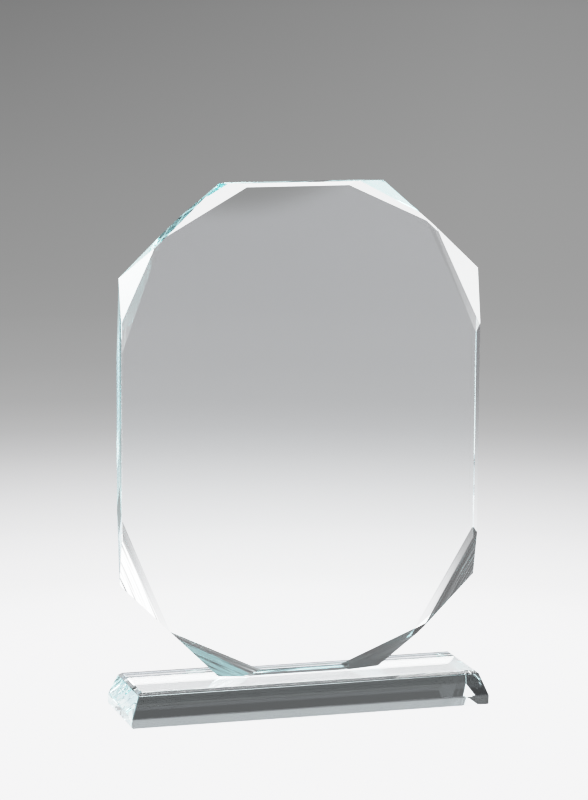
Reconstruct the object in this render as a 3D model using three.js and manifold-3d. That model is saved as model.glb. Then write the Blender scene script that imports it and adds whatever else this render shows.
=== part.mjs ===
// A crystal award: an upright plate of clear glass, an elongated octagon with ground corner facets, bonded with a
// film of clear adhesive to a low glass base whose four sides slope in to its top. Millimetres, +Z up. The origin is
// the middle of the base's underside, and the award faces -Y.
import * as THREE from 'three';
import { mergeVertices } from 'three/addons/utils/BufferGeometryUtils.js';
import Module from 'manifold-3d';

const wasm = await Module();
wasm.setup();

// Plate: an upright octagon with two long sides, cut from sheet
const plateWidth = 178;
const plateHeight = 237.8;
const plateThickness = 10;
const cornerAcross = 48.5; // how far each corner cut reaches along the top or bottom edge
const topCornerDrop = 43.5; // how far the two upper corner cuts reach down the sides
const bottomCornerRise = { left: 47.5, right: 43.5 }; // how far the two lower ones reach up
const edgeArris = 1.6; // flat polished on the top and bottom edges, front and back, at 45 degrees
const sideArris = 0.3; // the same on the two long sides

// Facets: each outline corner is ground away from the front and from the back, and the two facets meet at a point
// half way through the edge. They are ground by hand, so each has its own legs along the two edges that it touches.
const facetLegs = {
  front: {
    topLeft: { straight: 15, slant: 35.5 },
    leftUpper: { straight: 20.5, slant: 21.5 },
    leftLower: { straight: 23, slant: 26 },
    bottomLeft: { straight: 17, slant: 34 },
    bottomRight: { straight: 24, slant: 24.5 },
    rightLower: { straight: 22.5, slant: 36 },
    rightUpper: { straight: 27.5, slant: 31 },
    topRight: { straight: 22, slant: 31 },
  },
  back: {
    topLeft: { straight: 9, slant: 22 },
    leftUpper: { straight: 41, slant: 29 },
    leftLower: { straight: 35, slant: 35 },
    bottomLeft: { straight: 25, slant: 33 },
    bottomRight: { straight: 23, slant: 26 },
    rightLower: { straight: 23.5, slant: 40 },
    rightUpper: { straight: 32, slant: 30 },
    topRight: { straight: 15, slant: 29 },
  },
};

// Base: a bar with a short upright band at the bottom and a slope on all four sides above it
const baseLength = 178;
const baseDepth = 51;
const bandHeight = 4.5;
const slopeHeight = 11.5;
const slopeRun = 4.5; // how far each side leans in from the band to the top
const topArris = 1.3; // flat polished on the four edges of the top, measured along the top and along the slope

// Bond: the cured adhesive between the plate's lower edge and the base's top
const bondThickness = 0.2;

const glass = { color: 0xd9e6e4, roughness: 0.03, metalness: 0 };
const cutter = 400; // side of the block that stands for a grinding wheel, larger than the award

const baseTop = bandHeight + slopeHeight;
const plateBottom = baseTop + bondThickness;

function solidFrom(geometry) {
  geometry.deleteAttribute('normal');
  geometry.deleteAttribute('uv');
  const merged = mergeVertices(geometry);
  const vertProperties = new Float32Array(merged.getAttribute('position').array);
  const triVerts = new Uint32Array(merged.index.array);
  return new wasm.Manifold(new wasm.Mesh({ numProp: 3, vertProperties, triVerts }));
}

function geometryFrom(solid) {
  const mesh = solid.getMesh();
  const geometry = new THREE.BufferGeometry();
  geometry.setAttribute('position', new THREE.BufferAttribute(mesh.vertProperties, 3));
  geometry.setIndex(new THREE.BufferAttribute(mesh.triVerts, 1));
  return geometry;
}

// Takes away what lies beyond the plane through a point, on the side that the normal points to.
function grind(solid, point, normal) {
  const block = new THREE.BoxGeometry(cutter, cutter, cutter).translate(0, 0, cutter / 2);
  block.applyQuaternion(new THREE.Quaternion().setFromUnitVectors(new THREE.Vector3(0, 0, 1), normal));
  block.translate(point.x, point.y, point.z);
  return solid.subtract(solidFrom(block));
}

// The outline's corners in order, each with the facet it carries and whether the edge that follows it is straight.
function plateCorners() {
  const half = plateWidth / 2;
  const top = plateHeight;
  const inner = half - cornerAcross;
  return [
    { facet: 'topRight', x: inner, z: top, slantNext: false },
    { facet: 'topLeft', x: -inner, z: top, slantNext: true },
    { facet: 'leftUpper', x: -half, z: top - topCornerDrop, slantNext: false },
    { facet: 'leftLower', x: -half, z: bottomCornerRise.left, slantNext: true },
    { facet: 'bottomLeft', x: -inner, z: 0, slantNext: false },
    { facet: 'bottomRight', x: inner, z: 0, slantNext: true },
    { facet: 'rightLower', x: half, z: bottomCornerRise.right, slantNext: false },
    { facet: 'rightUpper', x: half, z: top - topCornerDrop, slantNext: true },
  ];
}

function plateBlank(corners) {
  const outline = new THREE.Shape(corners.map((corner) => new THREE.Vector2(corner.x, corner.z)));
  const blank = new THREE.ExtrudeGeometry(outline, { depth: plateThickness, bevelEnabled: false });
  return blank.rotateX(Math.PI / 2).translate(0, plateThickness / 2, 0);
}

function plate() {
  const corners = plateCorners();
  let solid = solidFrom(plateBlank(corners));
  const middle = new THREE.Vector3(0, 0, plateHeight / 2);
  for (const [side, y] of [['front', -plateThickness / 2], ['back', plateThickness / 2]]) {
    const faceNormal = Math.sign(y);
    corners.forEach((corner, i) => {
      const before = corners[(i + corners.length - 1) % corners.length];
      const after = corners[(i + 1) % corners.length];
      const legs = facetLegs[side][corner.facet];
      const onFace = new THREE.Vector3(corner.x, y, corner.z);
      const along = (neighbour, leg) => new THREE.Vector3(neighbour.x - corner.x, 0, neighbour.z - corner.z)
        .setLength(leg)
        .add(onFace);
      const toAfter = along(after, corner.slantNext ? legs.slant : legs.straight);
      const toBefore = along(before, corner.slantNext ? legs.straight : legs.slant);
      const point = new THREE.Vector3(corner.x, 0, corner.z);
      const facet = new THREE.Plane().setFromCoplanarPoints(point, toAfter, toBefore);
      if (facet.distanceToPoint(middle) > 0) facet.negate();
      solid = grind(solid, point, facet.normal);
    });
    const edges = [
      { x: 0, z: plateHeight, arris: edgeArris, out: new THREE.Vector3(0, faceNormal, 1) },
      { x: 0, z: 0, arris: edgeArris, out: new THREE.Vector3(0, faceNormal, -1) },
      { x: -plateWidth / 2, z: plateHeight / 2, arris: sideArris, out: new THREE.Vector3(-1, faceNormal, 0) },
      { x: plateWidth / 2, z: plateHeight / 2, arris: sideArris, out: new THREE.Vector3(1, faceNormal, 0) },
    ];
    for (const { x, z, arris, out } of edges) {
      solid = grind(solid, new THREE.Vector3(x, y - faceNormal * arris, z), out.normalize());
    }
  }
  return geometryFrom(solid);
}

// The lower land of the plate, between its two arrises and its two corner points.
function bond() {
  const end = plateWidth / 2 - cornerAcross;
  const halfLand = plateThickness / 2 - edgeArris;
  const share = 2 * halfLand / plateThickness; // of a facet's leg that is left at the arris
  const { front, back } = facetLegs;
  const outline = new THREE.Shape([
    new THREE.Vector2(-end, 0),
    new THREE.Vector2(-end + share * front.bottomLeft.straight, -halfLand),
    new THREE.Vector2(end - share * front.bottomRight.straight, -halfLand),
    new THREE.Vector2(end, 0),
    new THREE.Vector2(end - share * back.bottomRight.straight, halfLand),
    new THREE.Vector2(-end + share * back.bottomLeft.straight, halfLand),
  ]);
  return new THREE.ExtrudeGeometry(outline, { depth: bondThickness, bevelEnabled: false });
}

function base() {
  let solid = solidFrom(new THREE.BoxGeometry(baseLength, baseDepth, baseTop).translate(0, 0, baseTop / 2));
  const sides = [
    { x: baseLength / 2, y: 0, out: new THREE.Vector3(slopeHeight, 0, slopeRun) },
    { x: -baseLength / 2, y: 0, out: new THREE.Vector3(-slopeHeight, 0, slopeRun) },
    { x: 0, y: baseDepth / 2, out: new THREE.Vector3(0, slopeHeight, slopeRun) },
    { x: 0, y: -baseDepth / 2, out: new THREE.Vector3(0, -slopeHeight, slopeRun) },
  ];
  for (const { x, y, out } of sides) {
    solid = grind(solid, new THREE.Vector3(x, y, bandHeight), out.normalize());
    const reach = slopeRun + topArris;
    const onTop = new THREE.Vector3(x - Math.sign(x) * reach, y - Math.sign(y) * reach, baseTop);
    solid = grind(solid, onTop, out.clone().add(new THREE.Vector3(0, 0, 1)).normalize());
  }
  return geometryFrom(solid);
}

function piece(name, geometry, look, z) {
  const mesh = new THREE.Mesh(geometry, new THREE.MeshStandardMaterial(look));
  mesh.name = name;
  mesh.position.z = z;
  return mesh;
}

const group = new THREE.Group();
group.add(piece('bevelled_base', base(), glass, 0));
group.add(piece('bond_film', bond(), { color: 0xe4e9e6, roughness: 0.1, metalness: 0 }, baseTop));
group.add(piece('octagon_plate', plate(), glass, plateBottom));

export default group;
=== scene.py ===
import math
import bmesh
import bpy
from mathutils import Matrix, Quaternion, Vector


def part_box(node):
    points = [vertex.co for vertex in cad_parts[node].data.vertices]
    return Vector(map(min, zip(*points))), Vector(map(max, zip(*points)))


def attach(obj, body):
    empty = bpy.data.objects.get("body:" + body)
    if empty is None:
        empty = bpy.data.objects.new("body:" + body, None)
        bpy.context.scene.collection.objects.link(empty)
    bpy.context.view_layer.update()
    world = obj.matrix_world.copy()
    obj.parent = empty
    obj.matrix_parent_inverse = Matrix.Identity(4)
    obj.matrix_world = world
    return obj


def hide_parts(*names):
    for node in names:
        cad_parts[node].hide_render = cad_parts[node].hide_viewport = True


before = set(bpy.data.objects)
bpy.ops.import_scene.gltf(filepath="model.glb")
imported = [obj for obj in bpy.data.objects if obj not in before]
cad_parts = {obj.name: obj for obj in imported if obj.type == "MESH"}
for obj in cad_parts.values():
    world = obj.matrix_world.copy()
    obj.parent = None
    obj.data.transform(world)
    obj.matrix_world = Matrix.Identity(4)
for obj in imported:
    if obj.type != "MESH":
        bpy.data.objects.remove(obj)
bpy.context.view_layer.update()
print("frame loaded")


def toLinear(hexColour):
    # sRGB hex to the linear colour that shaders use
    values = [int(hexColour[i:i + 2], 16) / 255 for i in (1, 3, 5)]
    linear = [v / 12.92 if v <= 0.04045 else ((v + 0.055) / 1.055) ** 2.4 for v in values]
    return (*linear, 1.0)


def addNode(tree, kind, settings=None, links=None):
    # adds a node, sets its inputs or properties by name, and links its inputs to the outputs of other nodes
    node = tree.nodes.new(kind)
    for name, value in (settings or {}).items():
        if isinstance(name, int) or name in node.inputs:
            node.inputs[name].default_value = value
        else:
            setattr(node, name, value)
    for name, source in (links or {}).items():
        tree.links.new(source, node.inputs[name])
    return node


# Camera: a long lens, a little above the award and to its left

cameraSettings = {
    "azimuth": -16.46,      # degrees, negative is to the award's left
    "elevation": 9.33,      # degrees above the horizon
    "roll": 0.35,           # degrees
    "distance": 1.530,      # metres from the point it aims at
    "aim": (-0.0019, 0.0043, 0.1487),
    "lens": 143.6,          # millimetres on a 36 mm sensor
}


def makeCamera(s):
    data = bpy.data.cameras.new("camera")
    data.lens = s["lens"]
    data.sensor_width = 36.0
    data.clip_end = 50.0
    camera = bpy.data.objects.new("camera", data)
    bpy.context.scene.collection.objects.link(camera)
    azimuth = math.radians(s["azimuth"])
    elevation = math.radians(s["elevation"])
    back = Vector((math.sin(azimuth) * math.cos(elevation),
                   -math.cos(azimuth) * math.cos(elevation),
                   math.sin(elevation)))
    camera.location = Vector(s["aim"]) + back * s["distance"]
    camera.rotation_mode = "QUATERNION"
    tilt = Quaternion(back, math.radians(s["roll"]))
    camera.rotation_quaternion = tilt @ (-back).to_track_quat("-Z", "Y")
    bpy.context.scene.camera = camera


makeCamera(cameraSettings)
print("camera placed")


# Glass: float glass, cut, ground and polished. It is water-clear through its thickness and turns pale
# blue-green where light runs the long way through it, as iron in the glass takes the red out.

glassSettings = {
    "ior": 1.52,
    "tint": "#89edee",               # what a long way through the glass leaves of white light
    "density": 1.8,                  # per metre
    "polish": (0.0, 0.012),          # roughness, from the clearest to the haziest patch
    "hazePatch": 0.045,              # metres across a patch of haze
    "hazeSpan": (0.35, 0.75),        # the noise values that the clearest and the haziest patch stand for
    "seedSpacing": 0.085,            # metres between seeds, the few tiny bubbles just under the surface
    "seedRadius": 0.0007,            # metres
    "seedHeight": 0.000012,          # metres that the surface bows over a seed
    "strokeLength": 0.060,           # metres that one stroke of the polishing wheel runs along a facet
    "strokeWidth": 0.0024,           # metres across a stroke
    "strokeHeight": 0.00014,         # metres, many times a real wheel mark's, so that it shows at this size
}


def clearGlass(name, s, wheelMarks):
    material = bpy.data.materials.new(name)
    material.use_nodes = True
    tree = material.node_tree
    tree.nodes.clear()
    place = addNode(tree, "ShaderNodeTexCoord")
    haze = addNode(tree, "ShaderNodeTexNoise", {"Scale": 1 / s["hazePatch"], "Detail": 3.0},
                   {"Vector": place.outputs["Object"]})
    clearest, haziest = s["polish"]
    least, most = s["hazeSpan"]
    polish = addNode(tree, "ShaderNodeMapRange",
                     {"From Min": least, "From Max": most, "To Min": clearest, "To Max": haziest},
                     {"Value": haze.outputs["Fac"]})
    flat = addNode(tree, "ShaderNodeMapping", {"Rotation": (math.radians(90), 0, 0)},
                   {"Vector": place.outputs["Object"]})
    seeds = addNode(tree, "ShaderNodeTexVoronoi",
                    {"voronoi_dimensions": "2D", "Scale": 1 / s["seedSpacing"]},
                    {"Vector": flat.outputs["Vector"]})
    bow = addNode(tree, "ShaderNodeMapRange",
                  {"interpolation_type": "SMOOTHSTEP", "From Min": s["seedRadius"] / s["seedSpacing"],
                   "From Max": 0.0, "To Min": 0.0, "To Max": 1.0},
                  {"Value": seeds.outputs["Distance"]})
    bump = addNode(tree, "ShaderNodeBump", {"Distance": s["seedHeight"]}, {"Height": bow.outputs["Result"]})
    if wheelMarks:
        along = addNode(tree, "ShaderNodeUVMap", {"uv_map": "grinding"})
        stretch = addNode(tree, "ShaderNodeMapping",
                          {"Scale": (1 / s["strokeLength"], 1 / s["strokeWidth"], 1)},
                          {"Vector": along.outputs["UV"]})
        strokes = addNode(tree, "ShaderNodeTexNoise", {"Scale": 1.0, "Detail": 1.0, "Roughness": 0.4},
                          {"Vector": stretch.outputs["Vector"]})
        ground = addNode(tree, "ShaderNodeAttribute", {"attribute_name": "ground"})
        marks = addNode(tree, "ShaderNodeMath", {"operation": "MULTIPLY"},
                        {0: strokes.outputs["Fac"], 1: ground.outputs["Fac"]})
        bump = addNode(tree, "ShaderNodeBump", {"Distance": s["strokeHeight"]},
                       {"Height": marks.outputs["Value"], "Normal": bump.outputs["Normal"]})
    shader = addNode(tree, "ShaderNodeBsdfPrincipled",
                     {"Base Color": toLinear("#ffffff"), "IOR": s["ior"], "Transmission Weight": 1.0},
                     {"Roughness": polish.outputs["Result"], "Normal": bump.outputs["Normal"]})
    absorb = addNode(tree, "ShaderNodeVolumeAbsorption",
                     {"Color": toLinear(s["tint"]), "Density": s["density"]})
    addNode(tree, "ShaderNodeOutputMaterial", None,
            {"Surface": shader.outputs["BSDF"], "Volume": absorb.outputs["Volume"]})
    return material


def solidOf(nodeName):
    # a merged copy of a CAD solid, with one face for each flat side
    bm = bmesh.new()
    bm.from_mesh(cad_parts[nodeName].data)
    bmesh.ops.remove_doubles(bm, verts=bm.verts, dist=1e-6)
    bmesh.ops.dissolve_limit(bm, angle_limit=math.radians(0.5), verts=bm.verts, edges=bm.edges)
    return bm


def softenEdges(bm, width):
    bmesh.ops.bevel(bm, geom=bm.edges[:], offset=width, offset_type="OFFSET", affect="EDGES", segments=1,
                    profile=0.5, material=-1, clamp_overlap=True)


def markGrinding(bm, strength):
    # sets how strongly each face shows the wheel, and lays a map along its longest edge, in metres
    ground = bm.faces.layers.float.new("ground")
    grinding = bm.loops.layers.uv.new("grinding")
    for face in bm.faces:
        longest = max(face.edges, key=lambda edge: edge.calc_length())
        along = (longest.verts[1].co - longest.verts[0].co).normalized()
        across = face.normal.cross(along)
        face[ground] = strength(face)
        for loop in face.loops:
            loop[grinding].uv = (loop.vert.co.dot(along), loop.vert.co.dot(across))


def placePiece(bm, pieceName, nodeName, material):
    bmesh.ops.recalc_face_normals(bm, faces=bm.faces)
    mesh = bpy.data.meshes.new(pieceName)
    bm.to_mesh(mesh)
    bm.free()
    mesh.materials.append(material)
    piece = bpy.data.objects.new(pieceName, mesh)
    bpy.context.scene.collection.objects.link(piece)
    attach(piece, "root")
    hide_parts(nodeName)
    print(pieceName, len(mesh.polygons), "faces")


plateSettings = {
    "edge": 0.00015,        # metres, the flat that the last polish leaves on each edge
    "lowerFacets": 1.0,     # how strongly the wheel shows on the facets of the lower corners
    "upperFacets": 0.03,    # and on those of the upper ones, which are polished further
    "lean": 0.02,           # least part of a corner facet's normal along each axis
    "smallest": 5e-6,       # square metres, more than the narrow flats of the softened edges have
}


def makePlate(s):
    bottom, top = (corner[2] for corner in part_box("octagon_plate"))
    halfWay = (bottom + top) / 2

    def strength(face):
        # a corner facet is turned to the front or back, to one side, and up or down all at once
        if min(abs(part) for part in face.normal) < s["lean"] or face.calc_area() < s["smallest"]:
            return 0.0
        return s["lowerFacets"] if face.calc_center_median().z < halfWay else s["upperFacets"]

    bm = solidOf("octagon_plate")
    softenEdges(bm, s["edge"])
    bmesh.ops.recalc_face_normals(bm, faces=bm.faces)
    markGrinding(bm, strength)
    glass = clearGlass("float glass, polished plate", glassSettings, wheelMarks=True)
    placePiece(bm, "octagonPlate", "octagon_plate", glass)


baseSettings = {
    "edge": 0.00025,        # metres
    "ends": 0.04,           # how strongly the wheel shows on the two ends
    "sides": 0.005,         # and on the long slopes and bands
    "level": 0.999,         # a face whose normal points this far up or down is the top or the underside
    "endwise": 0.5,         # and one whose normal points this far sideways belongs to an end
}


def makeBase(s):
    def strength(face):
        if abs(face.normal.z) > s["level"]:
            return 0.0
        return s["ends"] if abs(face.normal.x) > s["endwise"] else s["sides"]

    bm = solidOf("bevelled_base")
    softenEdges(bm, s["edge"])
    bmesh.ops.recalc_face_normals(bm, faces=bm.faces)
    markGrinding(bm, strength)
    glass = clearGlass("float glass, polished base", glassSettings, wheelMarks=True)
    placePiece(bm, "bevelledBase", "bevelled_base", glass)


# The film wets both pieces of glass, so light passes through it as if they were one

filmSettings = {"wetting": 0.00003}     # metres that it reaches into each of them


def makeFilm(s):
    bm = solidOf("bond_film")
    low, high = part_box("bond_film")
    middle = (low[2] + high[2]) / 2
    for vert in bm.verts:
        vert.co.z += math.copysign(s["wetting"], vert.co.z - middle)
    adhesive = clearGlass("UV-cured acrylic adhesive", glassSettings, wheelMarks=False)
    placePiece(bm, "bondFilm", "bond_film", adhesive)


makePlate(plateSettings)
makeBase(baseSettings)
makeFilm(filmSettings)
print("award made")


# Stage: a white table that glows evenly and fades into a grey backdrop, under plain studio light, with a
# painted shadow under the award's base. Light is given as radiance, so that 1 is a white sheet of paper
# before the tone curve below holds it back.

tableSettings = {
    "drop": 0.0002,         # metres below the base's underside
    "white": 1.9,
    "paintedShadowUnderBase": 0.84,      # painted shadow: share of the table's glow that is left under the base
    "paintedShadowAtBackEdge": 0.32,     # and a darker painted shadow under its back edge
    "shadeAt": (0.0185, 0.0215),    # metres in Y between which the darker painted shadow of the back edge begins
    "shadeEdge": 0.0005,    # metres across the edge of the painted shadow round the base
    # radius in metres and how much of the table shows there
    "fade": [(0.16, 1.0), (0.20, 0.97), (0.25, 0.90), (0.30, 0.73), (0.36, 0.62), (0.40, 0.55), (0.44, 0.47),
             (0.49, 0.40), (0.535, 0.34), (0.585, 0.28), (0.64, 0.22), (0.69, 0.17), (0.73, 0.14),
             (0.79, 0.10), (0.86, 0.07), (0.92, 0.05), (1.1, 0.023), (1.4, 0.0)],
}


def blend(tree, source, stops, top):
    # a smooth run of grey values along a number, where top is the value that white stands for
    low = stops[0][0]
    high = stops[-1][0]
    span = addNode(tree, "ShaderNodeMapRange", {"From Min": low, "From Max": high}, {"Value": source})
    ramp = addNode(tree, "ShaderNodeValToRGB", None, {"Fac": span.outputs["Result"]})
    elements = ramp.color_ramp.elements
    elements.remove(elements[-1])
    for i, (at, value) in enumerate(stops):
        share = (at - low) / (high - low)
        element = elements[0] if i == 0 else elements.new(share)
        element.position = share
        element.color = (value / top, value / top, value / top, 1)
    return ramp.outputs["Color"]


def makeTable(s):
    bm = bmesh.new()
    bmesh.ops.create_circle(bm, cap_ends=True, segments=128, radius=s["fade"][-1][0])
    bmesh.ops.translate(bm, verts=bm.verts, vec=(0, 0, -s["drop"]))
    mesh = bpy.data.meshes.new("table")
    bm.to_mesh(mesh)
    bm.free()
    table = bpy.data.objects.new("table", mesh)
    bpy.context.scene.collection.objects.link(table)
    # the table glows on its own rather than being lit; under the base its glow is dimmed as a painted shadow
    # of the award
    material = bpy.data.materials.new("white card, glowing, with painted shadow under the base")
    material.use_nodes = True
    tree = material.node_tree
    tree.nodes.clear()
    place = addNode(tree, "ShaderNodeTexCoord")
    radius = addNode(tree, "ShaderNodeVectorMath", {"operation": "LENGTH"}, {0: place.outputs["Object"]})
    shown = blend(tree, radius.outputs["Value"], s["fade"], 1.0)
    axes = addNode(tree, "ShaderNodeSeparateXYZ", None, {"Vector": place.outputs["Object"]})
    beyond = []
    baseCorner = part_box("bevelled_base")[1]
    for axis, half in zip("XY", baseCorner):
        size = addNode(tree, "ShaderNodeMath", {"operation": "ABSOLUTE"}, {0: axes.outputs[axis]})
        beyond.append(addNode(tree, "ShaderNodeMapRange",
                              {"From Min": half - s["shadeEdge"], "From Max": half, "To Max": 1.0},
                              {"Value": size.outputs["Value"]}))
    outside = addNode(tree, "ShaderNodeMath", {"operation": "MAXIMUM"},
                      {0: beyond[0].outputs["Result"], 1: beyond[1].outputs["Result"]})
    # painted shadow: inside the base's outline the glow drops to one share, and to a smaller one along its
    # back edge
    shade = addNode(tree, "ShaderNodeMapRange",
                    {"interpolation_type": "SMOOTHSTEP",
                     "From Min": s["shadeAt"][0], "From Max": s["shadeAt"][1],
                     "To Min": s["paintedShadowUnderBase"], "To Max": s["paintedShadowAtBackEdge"]},
                    {"Value": axes.outputs["Y"]})
    lit = addNode(tree, "ShaderNodeMix", {"data_type": "FLOAT", 3: 1.0},
                  {0: outside.outputs["Value"], 2: shade.outputs["Result"]})
    strength = addNode(tree, "ShaderNodeMath", {"operation": "MULTIPLY", 1: s["white"]}, {0: lit.outputs[0]})
    glow = addNode(tree, "ShaderNodeEmission", {"Color": toLinear("#fdfdff")},
                   {"Strength": strength.outputs["Value"]})
    clear = addNode(tree, "ShaderNodeBsdfTransparent")
    mix = addNode(tree, "ShaderNodeMixShader", None,
                  {0: shown, 1: clear.outputs["BSDF"], 2: glow.outputs["Emission"]})
    addNode(tree, "ShaderNodeOutputMaterial", None, {"Surface": mix.outputs["Shader"]})
    mesh.materials.append(material)


makeTable(tableSettings)


worldSettings = {
    "top": 8.0,                 # the radiance that the blends below are drawn against
    # sine of the elevation and the radiance, behind the award
    "back": [(-0.30, 1.5), (-0.27, 1.1), (-0.235, 0.5), (-0.208, 0.36), (-0.15, 0.36), (-0.137, 0.365),
             (-0.123, 0.35), (-0.095, 0.336), (-0.067, 0.313), (-0.04, 0.287), (-0.01, 0.2), (0.02, 0.12),
             (0.2, 0.12), (0.26, 0.115), (0.38, 0.09), (0.45, 0.05), (0.6, 0.12), (0.75, 0.8), (1.0, 1.4)],
    # and in front of it, from where light falls on its face
    "front": [(-0.30, 1.5), (-0.25, 0.6), (-0.208, 0.4), (-0.191, 0.6), (-0.174, 0.9), (-0.156, 1.2),
              (-0.139, 1.48), (-0.11, 1.67), (0.2, 1.7), (0.3, 0.9), (0.42, 0.35), (0.55, 0.3), (0.75, 1.0),
              (1.0, 1.4)],
    "turn": 0.25,               # how far in Y the front and the back blend into each other
    "cool": (0.97, 0.98, 1.06), # the screen in front is a little bluer than the table
    # where the backdrop darkens to the left: X over Y, sine of the elevation, and the most that it loses
    "shades": [((0.36, 0.20), (-0.17, -0.04), 0.24), ((0.12, -0.36), (-0.24, -0.14), 0.6)],
    "leastAhead": 0.05,         # Y is taken to be at least this, so that X over Y doesn't jump at the sides
    # lamps and cards: azimuth from +Y towards +X, elevation, outer and inner radius in degrees, and radiance
    "lamps": [
        (60, -24, 16, 9, (2.5, 2.5, 2.5)),          # low softbox on the right
        (52, 4, 12, 6, (3.6, 3.6, 3.6)),            # softbox above it
        (37, 67, 26, 18, (7.0, 7.0, 7.0)),          # overhead softbox
        (16.3, 3.4, 5.5, 3.0, (0.26, 0.27, 0.28)),  # glow on the backdrop above the award
        (-38, 30, 13, 8, (3.0, 3.0, 3.0)),          # rim softbox, high behind the award
        (-118, -12, 26, 14, (4.0, 4.0, 4.0)),       # fill softbox on the left
        (36, 16.5, 4.5, 1.0, (0.24, 0.42, 0.44)),   # blue-green card
        (7.5, 25, 5.0, 1.5, (0.35, 0.36, 0.37)),    # two small pale cards on the backdrop
        (-9.5, 3.5, 5.5, 1.5, (0.3, 0.31, 0.32)),
    ],
    # the dark front of a lens hood in the bright screen, given the same way, and the share it gives back
    "lens": (164.8, -1.9, 4.3, 3.7, 0.1),
}


def spot(tree, way, place, around, inside):
    # a round soft-edged patch of sky
    azimuth, elevation, outer, inner = (math.radians(angle) for angle in place)
    towards = (math.sin(azimuth) * math.cos(elevation), math.cos(azimuth) * math.cos(elevation),
               math.sin(elevation))
    near = addNode(tree, "ShaderNodeVectorMath", {"operation": "DOT_PRODUCT", 1: towards}, {0: way})
    patch = addNode(tree, "ShaderNodeMapRange",
                    {"interpolation_type": "SMOOTHSTEP",
                     "From Min": math.cos(outer), "From Max": math.cos(inner),
                     "To Min": around, "To Max": inside},
                    {"Value": near.outputs["Value"]})
    return patch.outputs["Result"]


def makeWorld(s):
    world = bpy.data.worlds.new("studio")
    bpy.context.scene.world = world
    world.use_nodes = True
    tree = world.node_tree
    tree.nodes.clear()
    way = addNode(tree, "ShaderNodeTexCoord").outputs["Generated"]
    axes = addNode(tree, "ShaderNodeSeparateXYZ", None, {"Vector": way})
    backdrop = blend(tree, axes.outputs["Z"], s["back"], s["top"])
    front = blend(tree, axes.outputs["Z"], s["front"], s["top"])

    ahead = addNode(tree, "ShaderNodeMath", {"operation": "MAXIMUM", 1: s["leastAhead"]},
                    {0: axes.outputs["Y"]})
    slope = addNode(tree, "ShaderNodeMath", {"operation": "DIVIDE"},
                    {0: axes.outputs["X"], 1: ahead.outputs["Value"]})
    for leftward, height, most in s["shades"]:
        left = addNode(tree, "ShaderNodeMapRange", {"From Min": leftward[0], "From Max": leftward[1]},
                       {"Value": slope.outputs["Value"]})
        high = addNode(tree, "ShaderNodeMapRange",
                       {"From Min": height[0], "From Max": height[1], "To Max": most},
                       {"Value": axes.outputs["Z"]})
        shade = addNode(tree, "ShaderNodeMath", {"operation": "MULTIPLY"},
                        {0: left.outputs["Result"], 1: high.outputs["Result"]})
        keep = addNode(tree, "ShaderNodeMath", {"operation": "SUBTRACT", 0: 1.0},
                       {1: shade.outputs["Value"]})
        shaded = addNode(tree, "ShaderNodeVectorMath", {"operation": "SCALE"},
                         {0: backdrop, "Scale": keep.outputs["Value"]})
        backdrop = shaded.outputs["Vector"]

    *lensPlace, lensShare = s["lens"]
    lens = spot(tree, way, lensPlace, 1.0, lensShare)
    screen = addNode(tree, "ShaderNodeVectorMath", {"operation": "SCALE"}, {0: front, "Scale": lens})
    cool = addNode(tree, "ShaderNodeVectorMath", {"operation": "MULTIPLY", 1: s["cool"]},
                   {0: screen.outputs["Vector"]})

    side = addNode(tree, "ShaderNodeMapRange", {"From Min": -s["turn"], "From Max": s["turn"]},
                   {"Value": axes.outputs["Y"]})
    room = addNode(tree, "ShaderNodeMix", {"data_type": "VECTOR"},
                   {0: side.outputs["Result"], 4: cool.outputs["Vector"], 5: backdrop})
    light = room.outputs[1]
    for *lampPlace, radiance in s["lamps"]:
        patch = spot(tree, way, lampPlace, 0.0, 1.0 / s["top"])
        lit = addNode(tree, "ShaderNodeVectorMath", {"operation": "SCALE", 0: radiance}, {"Scale": patch})
        total = addNode(tree, "ShaderNodeVectorMath", {"operation": "ADD"},
                        {0: light, 1: lit.outputs["Vector"]})
        light = total.outputs["Vector"]
    sky = addNode(tree, "ShaderNodeBackground", {"Strength": s["top"]}, {"Color": light})
    addNode(tree, "ShaderNodeOutputWorld", None, {"Surface": sky.outputs["Background"]})


makeWorld(worldSettings)


# Tone: straight up to mid grey, then a long shoulder, as film and print have

toneSettings = {
    "top": 3.2,
    "curve": [(0.0, 0.0), (0.3, 0.3), (0.5, 0.49), (0.75, 0.68), (1.0, 0.79), (1.25, 0.85), (1.5, 0.88),
              (1.9, 0.915), (2.5, 0.96), (3.2, 1.0)],
}


def setTone(s):
    tone = bpy.context.scene.view_settings
    tone.view_transform = "Standard"
    tone.use_curve_mapping = True
    mapping = tone.curve_mapping
    mapping.white_level = (s["top"],) * 3
    points = mapping.curves[3].points
    points[0].location = (0.0, s["curve"][0][1])
    points[-1].location = (1.0, s["curve"][-1][1])
    for light, shown in s["curve"][1:-1]:
        points.new(light / s["top"], shown)
    mapping.update()


setTone(toneSettings)

# Light has to cross many surfaces before it leaves the glass
cycles = bpy.context.scene.cycles
cycles.max_bounces = 64
cycles.transmission_bounces = 64
cycles.glossy_bounces = 64
cycles.transparent_max_bounces = 16
print("stage lit")
